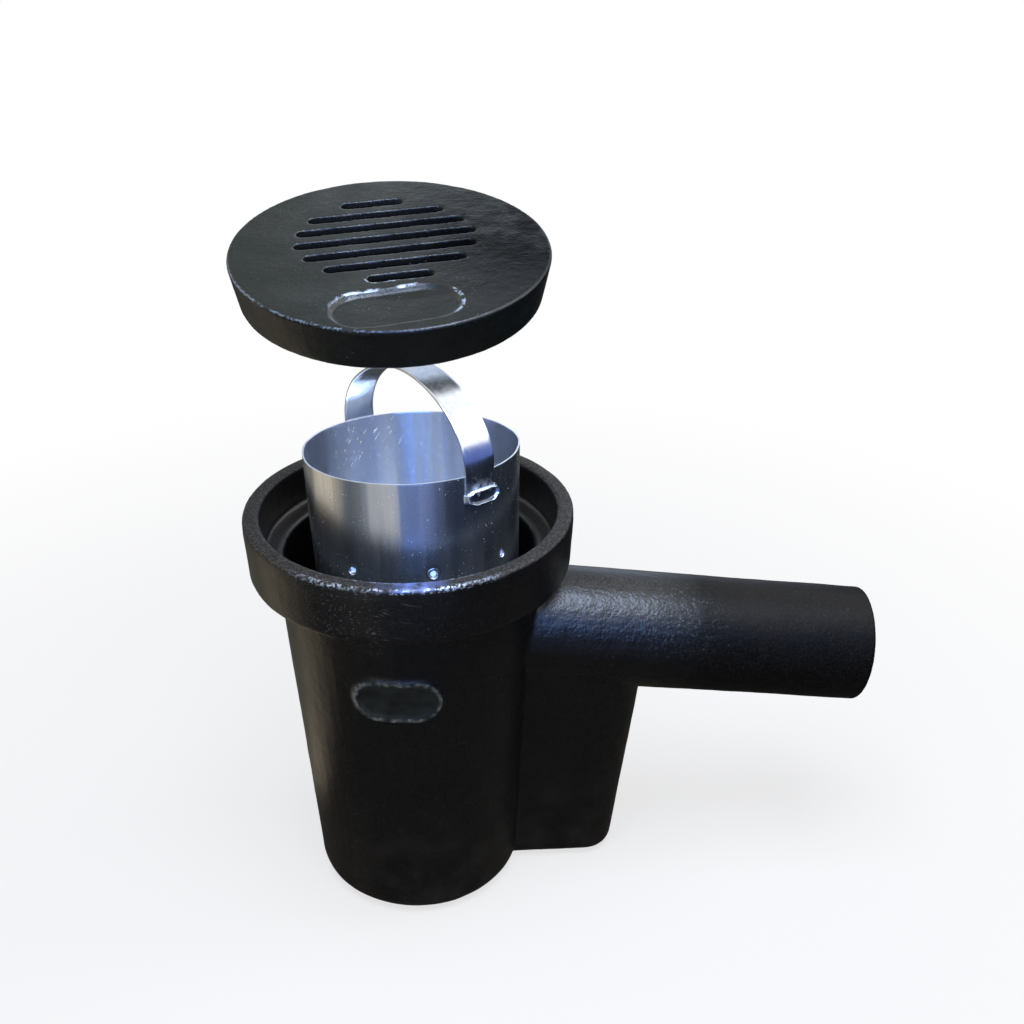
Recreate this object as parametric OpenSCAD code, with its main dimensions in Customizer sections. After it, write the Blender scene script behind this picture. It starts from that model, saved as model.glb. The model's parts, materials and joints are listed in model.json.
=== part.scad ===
// Cast iron gully trap with a lift-out sheet steel bucket and a round
// grating cover. The pieces stand apart: the cover hangs over the collar and
// the bucket is drawn part of the way out of the barrel.
// Millimetres. Z is up, the trap stands on Z = 0 with the barrel on the Z axis
// and its outlet pointing along +X.

/* [Barrel] */
// overall height of the casting, floor to collar rim
trap_h = 400; // [320:1:480]
// outside diameter of the barrel under the collar
barrel_top_d = 244; // [200:1:300]
// outside diameter of the barrel at its foot, before the edge is rounded
barrel_foot_d = 198; // [160:1:260]
// thickness of the barrel wall
barrel_wall = 8; // [6:0.5:14]
// thickness of the barrel floor
barrel_floor = 10; // [6:0.5:20]
// rounding of the outside foot edge
foot_round = 20; // [6:1:40]

/* [Collar] */
// outside diameter of the collar at the rim
collar_d = 298; // [260:1:340]
// height of the collar
collar_h = 56; // [30:1:80]
// how much the collar draws in towards its underside, on the radius
collar_draft = 2.5; // [0:0.5:6]
// diameter of the recess that takes the cover
recess_d = 268; // [220:1:320]
// depth from the rim to the ledge that carries the cover
recess_depth = 38; // [20:1:50]
// rounding of the outer rim edge
rim_round = 8; // [1:0.5:10]
// rounding where the collar underside meets the barrel
collar_fillet = 10; // [2:1:20]

/* [Leg] */
// width of the leg where it runs into the outlet
leg_top_w = 102; // [80:1:108]
// width of the leg at its foot
leg_foot_w = 58; // [50:1:80]
// reach of the leg from the barrel axis at its foot
leg_foot_reach = 197.5; // [150:0.5:260]
// reach of the leg from the barrel axis at the outlet
leg_top_reach = 226; // [150:1:280]
// height of the leg foot above the floor
leg_foot_z = 6; // [0:1:60]
// wall thickness of the leg
leg_wall = 8; // [6:0.5:14]
// width of the throat between barrel and leg
throat_w = 40; // [24:1:42]
// height of the top of the throat above the floor
throat_top = 150; // [100:1:200]

/* [Outlet] */
// outside diameter of the plain spigot at the mouth
outlet_d = 110; // [90:1:130]
// bore of the spigot
outlet_bore = 100; // [80:1:118]
// length of the plain spigot, measured back from the mouth
spigot_l = 120; // [60:1:180]
// how much thicker the pipe grows towards the barrel, on the radius
outlet_taper = 1.5; // [0:0.5:5]
// length of the outlet from the barrel axis, measured along the pipe
outlet_reach = 435; // [300:1:520]
// height of the pipe axis where it crosses the barrel axis
outlet_z = 285; // [240:1:320]
// fall of the outlet in degrees
outlet_fall = 7; // [0:0.5:12]

/* [Name plates] */
// length of the bare plate on the barrel
barrel_plate_l = 80; // [40:1:100]
// height of the bare plate on the barrel
barrel_plate_h = 44; // [20:1:60]
// height of the plate centre above the floor
barrel_plate_z = 267; // [120:1:300]
// direction of the barrel plate in degrees, outlet at 0
barrel_plate_dir = -97.5; // [-180:0.5:180]
// how far the plate border stands out from the barrel
barrel_plate_raise = 2.4; // [1:0.2:4]
// length of the bare plate sunk into the cover
cover_plate_l = 104; // [60:1:120]
// width of the bare plate sunk into the cover
cover_plate_w = 54; // [30:1:60]
// depth of the sunk plate
cover_plate_depth = 4; // [1:0.5:6]

/* [Cover] */
// diameter of the cover at its top face
cover_d = 262; // [220:1:300]
// thickness of the cover at its rim
cover_t = 37; // [20:1:50]
// how much the cover rim draws in towards its underside, on the radius
cover_draft = 6; // [0:0.5:8]
// thickness of the plate that carries the slots
cover_plate_t = 18; // [12:1:34]
// width of the skirt around the underside
cover_skirt_w = 11; // [8:1:24]
// number of slots
slot_n = 7; // [3:2:9]
// width of a slot
slot_w = 11; // [6:0.5:14]
// distance from slot to slot
slot_pitch = 22; // [16:0.5:30]
// radius of the round field the slots fill
slot_field_r = 76.5; // [50:0.5:90]
// distance of the slot field from the cover centre
slot_field_off = 19; // [0:1:30]
// direction the slots run in, in degrees
slot_turn = 10.5; // [-90:0.5:90]
// height the cover hangs above its seat, 0 when it is closed
cover_lift = 242; // [0:1:300]
// tip of the hanging cover in degrees, 0 when it is closed
cover_tip = 10.5; // [0:0.5:15]

/* [Bucket] */
// outside diameter of the bucket at its rim
bucket_d = 192; // [160:1:204]
// height of the bucket
bucket_h = 140; // [100:1:180]
// sheet thickness of the bucket
bucket_sheet = 1.5; // [1:0.1:3]
// how much the bucket wall draws in towards the base, on the radius
bucket_taper = 4.5; // [0:0.5:12]
// number of drain holes
drain_n = 8; // [4:1:16]
// diameter of a drain hole
drain_d = 5.5; // [3:0.5:12]
// depth of the drain holes below the bucket rim
drain_drop = 84; // [40:1:130]
// direction of the first drain hole in degrees
drain_dir = 9; // [0:1:45]
// height the bucket is drawn up from its seat, 0 when it is in place
bucket_lift = 172; // [0:1:220]
// lean of the drawn bucket in degrees, 0 when it is in place
bucket_lean = 5.5; // [0:0.5:8]

/* [Bucket handle] */
// width of the strap
strap_w = 30; // [16:1:40]
// thickness of the strap
strap_t = 2; // [1.5:0.1:4]
// height of the handle arch above the bucket rim
strap_rise = 73; // [40:1:76]
// depth of the strap feet below the bucket rim
strap_foot = 22; // [10:1:40]
// direction of the front strap foot in degrees
strap_dir = -54; // [-180:1:180]
// distance of the strap from the bucket axis, towards the outlet side
strap_off = 5; // [0:0.5:10]
// length of the weld run across a strap foot
weld_l = 37; // [20:1:50]
// width of the weld run
weld_w = 12; // [6:1:20]

/* [Hidden] */
$fn = 96;
eps = 0.01;

collar_z = trap_h - collar_h;
ledge_z = trap_h - recess_depth;
barrel_slope = (barrel_top_d - barrel_foot_d) / 2 / collar_z;
function barrel_r(z) = barrel_foot_d / 2 + barrel_slope * z;
bore_top_r = barrel_r(collar_z) - barrel_wall;
bore_foot_r = barrel_r(barrel_floor) - barrel_wall;
inside_round = foot_round - barrel_wall;

// the bucket stands on four lugs cast inside the barrel
seat_z = 148;
seat_r = bucket_d / 2 - bucket_taper - 5;
lug_w = 24;
lug_h = 16;

leg_top_z = outlet_z - leg_top_reach * tan(outlet_fall);

// the strap runs beside the bucket axis, so both feet sit this angle round
// from a true diameter
strap_swing = asin(strap_off / (bucket_d / 2));

// strap arch: two side bends and a crown that runs on from both
wall_lean = atan(bucket_taper / bucket_h);
strap_out_r = bucket_d / 2 + strap_t;
side_r = 60;
side_x = strap_out_r - side_r;
crown_r = (pow(strap_rise, 2) + pow(side_x, 2) - pow(side_r, 2)) / (2 * (strap_rise - side_r));
crown_z = strap_rise - crown_r;
crown_half = atan2(side_x, -crown_z);

// the hanging cover and the drawn bucket sit a little off the barrel axis
cover_off = [-7, -12, 0];
bucket_off = [4, -0.7, 0];
lean_side = 0.2;
spread = cover_lift > 0 ? 1 : 0;
drawn = bucket_lift > 0 ? 1 : 0;

iron = [0.09, 0.09, 0.10];
steel = [0.66, 0.70, 0.78];

// quarter circle of points, centre c, radius r, from angle a to angle b
function arc(c, r, a, b, n = 6) =
    [for (i = [0:n]) c + r * [cos(a + (b - a) * i / n), sin(a + (b - a) * i / n)]];

// flat slot outline, l over the round ends, w across
module obround(l, w) {
    square([l - w, w], center = true);
    for (s = [-1, 1]) translate([s * (l - w) / 2, 0]) circle(d = w);
}

// ---------------------------------------------------------------- trap body

// outside of barrel and collar, turned about the Z axis
module barrel_outside() {
    fr = foot_round;
    cr = collar_d / 2;
    rotate_extrude() polygon(concat(
        [[0, 0]],
        arc([barrel_r(fr) - fr, fr], fr, -90, 0, 8),
        [[barrel_r(collar_z - collar_fillet), collar_z - collar_fillet]],
        arc([barrel_r(collar_z) + collar_fillet, collar_z - collar_fillet], collar_fillet, 165, 90, 5),
        arc([cr - collar_draft - 5, collar_z + 5], 5, -90, -10, 4),
        arc([cr - rim_round, trap_h - rim_round], rim_round, 0, 90, 5),
        [[0, trap_h]]));
}

// hollow of barrel, ledge and cover recess
module barrel_inside() {
    ir = inside_round;
    rotate_extrude() polygon(concat(
        [[0, barrel_floor]],
        arc([bore_foot_r - ir, barrel_floor + ir], ir, -90, 0, 6),
        [[bore_top_r, collar_z], [bore_top_r, ledge_z - 3], [bore_top_r + 3, ledge_z],
         [recess_d / 2 - 4, ledge_z], [recess_d / 2 - 1, ledge_z + 3],
         [recess_d / 2, trap_h - 2], [recess_d / 2 + 2, trap_h + 1], [0, trap_h + 1]]));
}

// one level of the leg: from the barrel axis out to a round end
module leg_level(z, h, reach, r) {
    for (x = [0, reach - r]) translate([x, 0, z]) cylinder(h = h, r = r, $fn = 32);
}

// the leg widens upwards until its faces run into the sides of the outlet
module leg_outside() {
    r = leg_foot_w / 2;
    hull() {
        leg_level(leg_foot_z, 1, leg_foot_reach - 7, r - 7);
        leg_level(leg_foot_z + 2, 1, leg_foot_reach - 2, r - 2);
        leg_level(leg_foot_z + 7, 1, leg_foot_reach, r);
        leg_level(leg_top_z, 1, leg_top_reach, leg_top_w / 2);
    }
}

module leg_inside() {
    hull() {
        leg_level(leg_foot_z + leg_wall, 1, leg_foot_reach - leg_wall, leg_foot_w / 2 - leg_wall);
        leg_level(leg_top_z, 1, leg_top_reach - leg_wall, leg_top_w / 2 - leg_wall);
    }
}

// piece of pipe along the outlet axis, from a to b, radius ra there and rb at b
module pipe(a, b, ra, rb) {
    translate([0, 0, outlet_z]) rotate([0, 90 + outlet_fall, 0])
        translate([0, 0, a]) cylinder(h = b - a, r1 = ra, r2 = rb);
}

// parallel spigot at the mouth, drafted from there back to the barrel
module outlet_outside() {
    r = outlet_d / 2;
    pipe(outlet_reach - spigot_l, outlet_reach, r, r);
    pipe(90, outlet_reach - spigot_l, r + outlet_taper, r + 0.1);
}

module outlet_inside() {
    r = outlet_bore / 2;
    pipe(outlet_reach - spigot_l - 40, outlet_reach + 1, r, r);
    pipe(100, outlet_reach - spigot_l - 40, r + outlet_taper, r + 0.1);
}

module throat() {
    r = throat_w / 2;
    z0 = leg_foot_z + leg_wall + 1;
    translate([60, -r, z0]) cube([80, throat_w, throat_top - r - z0]);
    translate([60, 0, throat_top - r]) rotate([0, 90, 0]) cylinder(h = 80, r = r);
}

// raised plate that follows the barrel, with a lower face inside its border
module barrel_plate() {
    rotate([0, 0, barrel_plate_dir]) intersection() {
        difference() {
            cylinder(h = collar_z, r1 = barrel_foot_d / 2 + barrel_plate_raise,
                     r2 = barrel_top_d / 2 + barrel_plate_raise);
            intersection() {
                difference() {
                    cylinder(h = collar_z, r1 = barrel_foot_d / 2 + 6, r2 = barrel_top_d / 2 + 6);
                    cylinder(h = collar_z, r1 = barrel_foot_d / 2 + barrel_plate_raise / 3,
                             r2 = barrel_top_d / 2 + barrel_plate_raise / 3);
                }
                plate_prism(barrel_plate_l - 9, barrel_plate_h - 9);
            }
        }
        plate_prism(barrel_plate_l, barrel_plate_h);
    }
}

module plate_prism(l, h) {
    translate([100, 0, barrel_plate_z]) rotate([90, 0, 90]) linear_extrude(30) obround(l, h);
}

module seat_lugs() {
    wall_r = barrel_r(seat_z) - barrel_wall + 3;
    in_r = seat_r - 4;
    for (a = [45:90:315]) rotate([0, 0, a]) rotate([90, 0, 0])
        translate([0, 0, -lug_w / 2]) linear_extrude(lug_w)
            polygon([[in_r, seat_z], [wall_r, seat_z], [wall_r, seat_z - lug_h - 14], [in_r, seat_z - lug_h]]);
}

module trap_body() {
    color(iron) {
        difference() {
            union() {
                barrel_outside();
                leg_outside();
                outlet_outside();
                barrel_plate();
            }
            barrel_inside();
            difference() {
                union() {
                    leg_inside();
                    outlet_inside();
                }
                cylinder(h = collar_z, r1 = barrel_foot_d / 2, r2 = barrel_top_d / 2);
            }
            throat();
        }
        seat_lugs();
    }
}

// -------------------------------------------------------------------- cover

// the cover is drawn with the middle of its top face at the origin
module cover_place() {
    translate([0, 0, trap_h - recess_depth + cover_t + cover_lift] + spread * cover_off)
        rotate([cover_tip * spread, 0, 0]) children();
}

module slots() {
    half = (slot_n - 1) / 2;
    rotate([0, 0, slot_turn]) translate([0, slot_field_off, -cover_t - 1])
        for (k = [-half:half])
            translate([0, k * slot_pitch, 0]) linear_extrude(cover_t + 2)
                obround(2 * sqrt(pow(slot_field_r, 2) - pow(abs(k) * slot_pitch + slot_w / 2, 2)), slot_w);
}

// shallow tray with sloped sides, sunk into the top face
module sunk_plate() {
    r = cover_plate_w / 2;
    s = (cover_plate_l - cover_plate_w) / 2;
    d = cover_plate_depth;
    translate([4, -92, -d]) rotate([0, 0, 14]) {
        for (x = [-s, s]) translate([x, 0, 0]) cylinder(h = d + eps, r1 = r - d, r2 = r);
        translate([s, 0, 0]) rotate([90, 0, -90]) linear_extrude(2 * s)
            polygon([[-(r - d), 0], [r - d, 0], [r, d + eps], [-r, d + eps]]);
    }
}

module grating_cover() {
    r = cover_d / 2;
    hollow_r = r - cover_draft - cover_skirt_w;
    color(iron) cover_place() difference() {
        rotate_extrude() polygon(concat(
            [[0, -cover_t]],
            arc([r - cover_draft - 3, 3 - cover_t], 3, -90, -5, 4),
            arc([r - 2.5, -2.5], 2.5, 0, 90, 4),
            [[0, 0]]));
        // underside hollow between skirt, ring rib and radial ribs
        difference() {
            translate([0, 0, -cover_t - 1]) cylinder(h = cover_t - cover_plate_t + 1, r1 = hollow_r, r2 = hollow_r - 2);
            rotate([0, 0, slot_turn]) translate([0, slot_field_off, -cover_t]) {
                difference() {
                    cylinder(h = cover_t, r = slot_field_r + 13);
                    translate([0, 0, -1]) cylinder(h = cover_t + 2, r = slot_field_r + 5);
                }
                for (a = [0:90:270]) rotate([0, 0, a + 45])
                    translate([slot_field_r + 9, -4, 0]) cube([100, 8, cover_t]);
            }
        }
        slots();
        sunk_plate();
    }
}

// ------------------------------------------------------------------- bucket

// the bucket is drawn with the middle of its rim at the origin
module bucket_place() {
    translate([0, 0, seat_z + bucket_h + bucket_lift] + drawn * bucket_off)
        rotate([-bucket_lean * drawn, -bucket_lean * lean_side * drawn, 0]) children();
}

module bucket_wall() {
    r = bucket_d / 2;
    color(steel) bucket_place() difference() {
        translate([0, 0, -bucket_h]) cylinder(h = bucket_h, r1 = r - bucket_taper, r2 = r);
        translate([0, 0, -bucket_h]) cylinder(h = bucket_h, r1 = r - bucket_taper - bucket_sheet, r2 = r - bucket_sheet);
        translate([0, 0, -eps]) cylinder(h = 1, r = r - bucket_sheet);
        translate([0, 0, -bucket_h - 1 + eps]) cylinder(h = 1, r = r - bucket_taper - bucket_sheet);
        for (i = [0:drain_n - 1]) rotate([0, 0, drain_dir + i * 360 / drain_n])
            translate([r - 12, 0, -drain_drop]) rotate([0, 90, 0]) cylinder(h = 20, d = drain_d, $fn = 24);
    }
}

module bucket_base() {
    r = bucket_d / 2 - bucket_taper - bucket_sheet;
    color(steel) bucket_place() translate([0, 0, -bucket_h])
        cylinder(h = bucket_sheet, r1 = r, r2 = r + bucket_taper * bucket_sheet / bucket_h);
}

// strap seen square to its arch: a foot outside the wall, a bend on each side
// and a flatter crown over the bucket
function arch_half(t) = concat(
    arc([side_x, 0], side_r - t, 0, 90 - crown_half, 14),
    [for (i = [1:10]) let (a = 90 - crown_half * (1 - i / 10))
        [0, crown_z] + (crown_r - t) * [cos(a), sin(a)]]);
// the same half run backwards, mirrored, or both; the crown point is kept once
function back(p) = [for (i = [len(p) - 2:-1:0]) p[i]];
function mirrored(p) = [for (q = p) [-q[0], q[1]]];
function mirrored_back(p) = mirrored(back(p));

module strap_outline() {
    fall = strap_foot * tan(wall_lean);
    inset = pow(strap_w / 2, 2) / bucket_d + 0.1;
    outer = concat([[strap_out_r - fall, -strap_foot]], arch_half(0));
    inner = concat([[strap_out_r - strap_t - inset - fall, -strap_foot],
                    [strap_out_r - strap_t - inset, -0.3]], arch_half(strap_t));
    polygon(concat(outer, mirrored_back(outer), mirrored(inner), back(inner)));
}

module bucket_outside() {
    translate([0, 0, -bucket_h]) cylinder(h = bucket_h, r1 = bucket_d / 2 - bucket_taper, r2 = bucket_d / 2);
}

// the strap's own frame: X runs from the back foot to the front foot
module strap_place() {
    rotate([0, 0, strap_dir - strap_swing]) translate([0, strap_off, 0]) rotate([90, 0, 0])
        translate([0, 0, -strap_w / 2]) linear_extrude(strap_w) children();
}

module bucket_handle() {
    color(steel) bucket_place() difference() {
        strap_place() strap_outline();
        bucket_outside();
    }
}

// half outline of a weld run, length h and radius w: swollen towards its end
function weld_half(h, w) =
    [[0.77 * w, h - 10], [0.93 * w, h - 7.4], [w, h - 5], [0.87 * w, h - 2.4], [0.5 * w, h - 0.6], [0, h]];

// weld run across the end of a strap foot, side 1 in front and -1 behind
module weld(side) {
    fall = strap_foot * tan(wall_lean);
    run = weld_half(weld_l / 2, weld_w / 2);
    mirrored_run = [for (i = [len(run) - 1:-1:0]) [run[i][0], -run[i][1]]];
    turn = side > 0 ? strap_dir : strap_dir + 180 - 2 * strap_swing;
    color(steel) bucket_place() difference() {
        rotate([0, 0, turn]) translate([bucket_d / 2 - fall - 0.5, 0, -strap_foot]) rotate([90, 0, 0])
            rotate_extrude($fn = 48) polygon(concat(mirrored_run, run));
        bucket_outside();
        strap_place() polygon([[side * (strap_out_r - fall), -strap_foot], [side * strap_out_r, 0],
                               [side * 60, 0], [side * 60, -strap_foot]]);
    }
}

module handle_weld_front() { weld(1); }
module handle_weld_back() { weld(-1); }

trap_body();
grating_cover();
bucket_wall();
bucket_base();
bucket_handle();
handle_weld_front();
handle_weld_back();
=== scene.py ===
# %% [markdown]
# # A cast iron gully trap, dressed in Blender
# The trap takes waste water from a floor. A round grating cover drops into the collar of the casting, a
# sheet steel bucket with a strap handle catches the silt, and the water leaves through the side leg and
# the outlet pipe. The construction is loaded as a fixed frame. This notebook gives each piece its real
# surface: soft cast edges, a black bitumen coat, rolled and welded steel. Lengths are in metres unless
# a name ends in _mm.

# %% Load the frame
import json
import math
import random
import bpy
from mathutils import Euler, Matrix, Vector

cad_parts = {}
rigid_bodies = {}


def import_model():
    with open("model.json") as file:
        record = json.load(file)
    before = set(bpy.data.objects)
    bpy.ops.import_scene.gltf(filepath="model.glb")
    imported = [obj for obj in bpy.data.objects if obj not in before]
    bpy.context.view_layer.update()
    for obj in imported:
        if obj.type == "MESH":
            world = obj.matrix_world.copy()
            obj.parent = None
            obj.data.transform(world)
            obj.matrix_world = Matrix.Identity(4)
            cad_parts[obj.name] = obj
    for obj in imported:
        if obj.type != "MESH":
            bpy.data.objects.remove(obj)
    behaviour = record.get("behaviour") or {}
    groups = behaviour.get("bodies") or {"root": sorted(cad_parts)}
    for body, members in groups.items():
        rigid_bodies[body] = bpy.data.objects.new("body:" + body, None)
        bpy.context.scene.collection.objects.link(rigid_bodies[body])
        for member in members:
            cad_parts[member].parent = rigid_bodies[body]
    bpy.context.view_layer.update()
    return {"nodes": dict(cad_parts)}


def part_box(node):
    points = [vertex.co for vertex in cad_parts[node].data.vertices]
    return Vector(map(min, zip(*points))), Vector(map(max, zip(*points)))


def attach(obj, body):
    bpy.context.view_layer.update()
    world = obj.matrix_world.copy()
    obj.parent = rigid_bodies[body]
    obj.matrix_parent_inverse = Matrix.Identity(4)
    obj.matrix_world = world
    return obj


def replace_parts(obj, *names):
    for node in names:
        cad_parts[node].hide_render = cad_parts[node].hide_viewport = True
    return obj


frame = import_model()
MM = 0.001
print("nodes:", ", ".join(sorted(frame["nodes"])))

# %% [markdown]
# The camera stands in front of the trap, a little above it, and looks down by 28 degrees, so the open
# collar, the inside of the bucket and the top of the cover all show. A small shift keeps the barrel
# left of the middle, because the outlet reaches far to the right.

# %% Camera
LOOK_DOWN, LOOK_RIGHT = 27.95, 3.94
camera_data = bpy.data.cameras.new("camera")
camera_data.sensor_width = 36
camera_data.lens = 45.7
camera_data.shift_x = 0.0108
camera = bpy.data.objects.new("camera", camera_data)
camera.location = (0.01165, -1.044, 0.9452)
camera.rotation_euler = (math.radians(90 - LOOK_DOWN), 0, math.radians(-LOOK_RIGHT))
bpy.context.scene.collection.objects.link(camera)
bpy.context.scene.camera = camera
bpy.context.scene.view_settings.view_transform = "Standard"
print("camera looks down", LOOK_DOWN, "degrees through a lens of", camera_data.lens, "mm")

# %% [markdown]
# Modelling by code needs the same care as modelling by hand: the operators act on what is selected.
# These helpers pick objects, join them, and run modifiers on one object for good.

# %% Helpers for objects
def select_nothing():
    for obj in bpy.context.view_layer.objects:
        obj.select_set(False)


def pick(obj, *others):
    """Select these objects and no more, with the first one active."""
    select_nothing()
    for chosen in (obj, *others):
        chosen.select_set(True)
    bpy.context.view_layer.objects.active = obj


def join(obj, others):
    pick(obj, *others)
    bpy.ops.object.join()


def apply_modifier(obj, kind, **settings):
    pick(obj)
    modifier = obj.modifiers.new(kind.lower(), kind)
    for name, value in settings.items():
        setattr(modifier, name, value)
    bpy.ops.object.modifier_apply(modifier=modifier.name)


def triangles(obj):
    obj.data.calc_loop_triangles()
    return len(obj.data.loop_triangles)


# %% [markdown]
# Edit mode works on one object at a time, so it gets a helper to enter and one to leave. A copy of a
# frame node makes a clean starting mesh. The frame's meshes are loose triangles, so a copy is merged
# first.

# %% Helpers for meshes
def edit(obj):
    """Enter edit mode with the whole mesh selected."""
    pick(obj)
    bpy.ops.object.mode_set(mode="EDIT")
    bpy.ops.mesh.select_all(action="SELECT")


def leave_edit():
    bpy.ops.object.mode_set(mode="OBJECT")


def merged_copy(node, name):
    obj = bpy.data.objects.new(name, frame["nodes"][node].data.copy())
    bpy.context.scene.collection.objects.link(obj)
    obj.data.materials.clear()
    edit(obj)
    bpy.ops.mesh.remove_doubles(threshold=1e-6)
    leave_edit()
    return obj


# %% [markdown]
# The frame gives the collar's rim a plain big round outside. The real rim was struck off flat, and only
# its outer corner is broken. A sharper corner could be bevelled anew, but the points of the round can
# as well be moved: each one slides out along its own radius of the round until it meets the flat top,
# the upright side or a small round between them.

# %% Shoulder of the collar's rim
low_corner, high_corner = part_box("trap_body")
RIM_R, RIM_Z = round(-low_corner.x, 5), round(high_corner.z, 5)
RIM_ROUND, RIM_CORNER = 8 * MM, 3.5 * MM


def square_up_rim(obj):
    """Pull the big round on the outside of the collar's rim out to a corner with a small one."""
    moved, flat = 0, RIM_ROUND - RIM_CORNER
    for vertex in obj.data.vertices:
        r = math.hypot(vertex.co.x, vertex.co.y)
        out, up = r - (RIM_R - RIM_ROUND), vertex.co.z - (RIM_Z - RIM_ROUND)
        if out > 0 and up > 0:
            far = math.hypot(out, up)
            c, s = out / far, up / far
            reach = RIM_ROUND / max(c, s)
            if reach * min(c, s) > flat:
                to_corner = flat * (c + s)
                reach = to_corner + math.sqrt(to_corner ** 2 - 2 * flat ** 2 + RIM_CORNER ** 2)
            grow = reach / RIM_ROUND - 1
            vertex.co += Vector((vertex.co.x / r * out, vertex.co.y / r * out, up)) * grow
            moved += 1
    print("rim points squared up:", moved)


print("collar rim", round(RIM_R / MM, 2), "mm from the axis and", round(RIM_Z / MM, 2), "mm high")

# %% [markdown]
# Iron poured into sand never has a knife edge: the sand rounds every corner, and the surface waves a
# little where the mould was rammed by hand. Bevels alone can't follow where barrel, leg and pipe run
# into each other. A voxel remesh turns the whole casting into one even skin, smoothing melts the
# corners into fillets, and a slow cloud pattern pushes the skin in and out by less than a millimetre.
# The skin is then thinned.

# %% Soft cast skin
def cast_skin(obj, voxel_mm, rounds, wave_mm, wave_size_mm, keep, reshape=None):
    """Remesh obj, smooth it for some rounds, reshape it, add waves, and keep a share of the faces."""
    apply_modifier(obj, "REMESH", mode="VOXEL", voxel_size=voxel_mm * MM, adaptivity=0)
    apply_modifier(obj, "SMOOTH", factor=0.5, iterations=rounds)
    if reshape:
        reshape(obj)
    waves = bpy.data.textures.new(obj.name + "_waves", "CLOUDS")
    waves.noise_scale = wave_size_mm * MM
    waves.noise_depth = 2
    apply_modifier(obj, "DISPLACE", texture=waves, strength=wave_mm * MM, mid_level=0.38,
                   texture_coords="LOCAL")
    apply_modifier(obj, "DECIMATE", ratio=keep)
    pick(obj)
    bpy.ops.object.shade_smooth()
    print(obj.name, triangles(obj), "triangles")
    return obj


casting = cast_skin(merged_copy("trap_body", "casting"), voxel_mm=1.9, rounds=3, wave_mm=0.9,
                    wave_size_mm=32, keep=0.28, reshape=square_up_rim)
cover = cast_skin(merged_copy("grating_cover", "cover"), voxel_mm=1.2, rounds=2, wave_mm=0.5,
                  wave_size_mm=25, keep=0.55)

# %% [markdown]
# The end of the spigot was dressed with a grinder: it is a true ring, only its corners are broken. The
# points of the last few millimetres move onto a half round that runs along the wall's middle, which
# gives the mouth a clean lip where the voxels left a ragged one. The foot of the casting is set flat on
# the floor.

# %% Lip of the spigot
FALL = math.radians(7)
SPIGOT_R, SPIGOT_WALL, PIPE_Z, MOUTH = 55 * MM, 5 * MM, 285 * MM, 435 * MM
LIP_R = SPIGOT_WALL / 2
along_pipe = Vector((math.cos(FALL), 0, -math.sin(FALL)))
pipe_start = Vector((0, 0, PIPE_Z))
lip_points = 0
for vertex in casting.data.vertices:
    reach = (vertex.co - pipe_start).dot(along_pipe)
    if reach > MOUTH - 2 * LIP_R:
        on_axis = pipe_start + along_pipe * reach
        out = (vertex.co - on_axis).normalized()
        core = pipe_start + along_pipe * min(reach, MOUTH - LIP_R) + out * (SPIGOT_R - LIP_R)
        vertex.co = core + (vertex.co - core).normalized() * LIP_R
        lip_points += 1
    vertex.co.z = max(0, vertex.co.z)
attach(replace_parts(casting, "trap_body"), "root")
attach(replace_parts(cover, "grating_cover"), "root")
print("lip points", lip_points)

# %% [markdown]
# A coat wears through first where the iron stands out: along the rim, the edge of the cover and the
# slots. The mesh itself knows where that is, because the normals of two neighbouring points spread
# apart over an edge. How sharply they spread is stored on each point, and the materials read it.

# %% Mark the standing edges
def mark_edges(obj, edge_mm):
    """Store 1 where the skin bends outwards as sharply as a round of edge_mm, 0 where it is flat."""
    mesh = obj.data
    bend, ways = [0.0] * len(mesh.vertices), [1e-9] * len(mesh.vertices)
    for edge in mesh.edges:
        a, b = (mesh.vertices[i] for i in edge.vertices)
        step = b.co - a.co
        curve = (b.normal - a.normal).dot(step) / max(step.length_squared, 1e-12)
        for i in edge.vertices:
            bend[i] += curve
            ways[i] += 1
    sharp = [min(1, max(0, 2 * edge_mm * MM * b / w)) for b, w in zip(bend, ways)]
    mesh.attributes.new("standing_edge", "FLOAT", "POINT").data.foreach_set("value", sharp)
    print(obj.name, "points on an edge:", sum(v > 0.5 for v in sharp))


mark_edges(casting, 3.5)
mark_edges(cover, 2.5)

# %% [markdown]
# The bucket was drawn part of the way out of the barrel and leans a little to the front. Its pieces are
# modelled upright around the middle of the rim, where every measure is easy, and then moved to that
# place. Its wall is slightly tapered, so its radius depends on the height, which is counted down from
# the rim.

# %% Place of the bucket
RIM_CENTRE = Vector((4, -0.7, 460)) * MM
LEAN = Euler((math.radians(-5.5), math.radians(-1.1), 0))
BUCKET_PLACE = Matrix.Translation(RIM_CENTRE) @ LEAN.to_matrix().to_4x4()
BUCKET_R, BUCKET_H, BUCKET_TAPER, SHEET = 96 * MM, 140 * MM, 4.5 * MM, 1.5 * MM


def wall_r(z):
    return BUCKET_R + BUCKET_TAPER * z / BUCKET_H


def onto_bucket(obj):
    obj.data.transform(BUCKET_PLACE)
    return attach(obj, "root")


print("bucket rim at", [round(v, 4) for v in RIM_CENTRE])

# %% [markdown]
# The bucket wall is sheet steel rolled into a tube. It starts as an open cone, and subdividing its
# upright edges cuts it into rings.

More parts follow.
